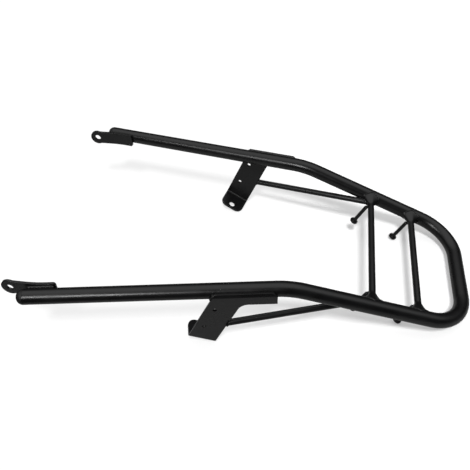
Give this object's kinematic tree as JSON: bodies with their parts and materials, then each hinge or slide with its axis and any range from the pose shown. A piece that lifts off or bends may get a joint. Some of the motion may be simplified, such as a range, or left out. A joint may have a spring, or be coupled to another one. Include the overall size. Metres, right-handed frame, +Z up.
{
  "type": "motorcycle luggage rack",
  "caption": "Bent tube luggage rack for a motorcycle tail, with welded cross bars, stays, side brackets and strap pegs.",
  "frame": {"origin": "under the middle of the rack, on the surface it stands on", "axes": "+X to the rear of the motorcycle, +Y to its right, +Z up; the rack stands on its two feet and the heads of its rear pegs"},
  "size_m": [0.6518, 0.4194, 0.1276],
  "materials": {
    "black_coat": "satin black powder coat",
    "cap_plastic": "black moulded plastic"
  },
  "bodies": {
    "root": {"main_tube": "black_coat", "end_cap_right": "cap_plastic", "end_cap_left": "cap_plastic", "eye_plate_right": "black_coat", "eye_plate_left": "black_coat", "side_bracket_right": "black_coat", "side_bracket_left": "black_coat", "stay_right": "black_coat", "stay_left": "black_coat", "front_cross_bar": "black_coat", "rear_cross_bar": "black_coat", "front_peg_right": "black_coat", "front_peg_left": "black_coat", "rear_peg_right": "black_coat", "rear_peg_left": "black_coat"}
  },
  "joints": []
}
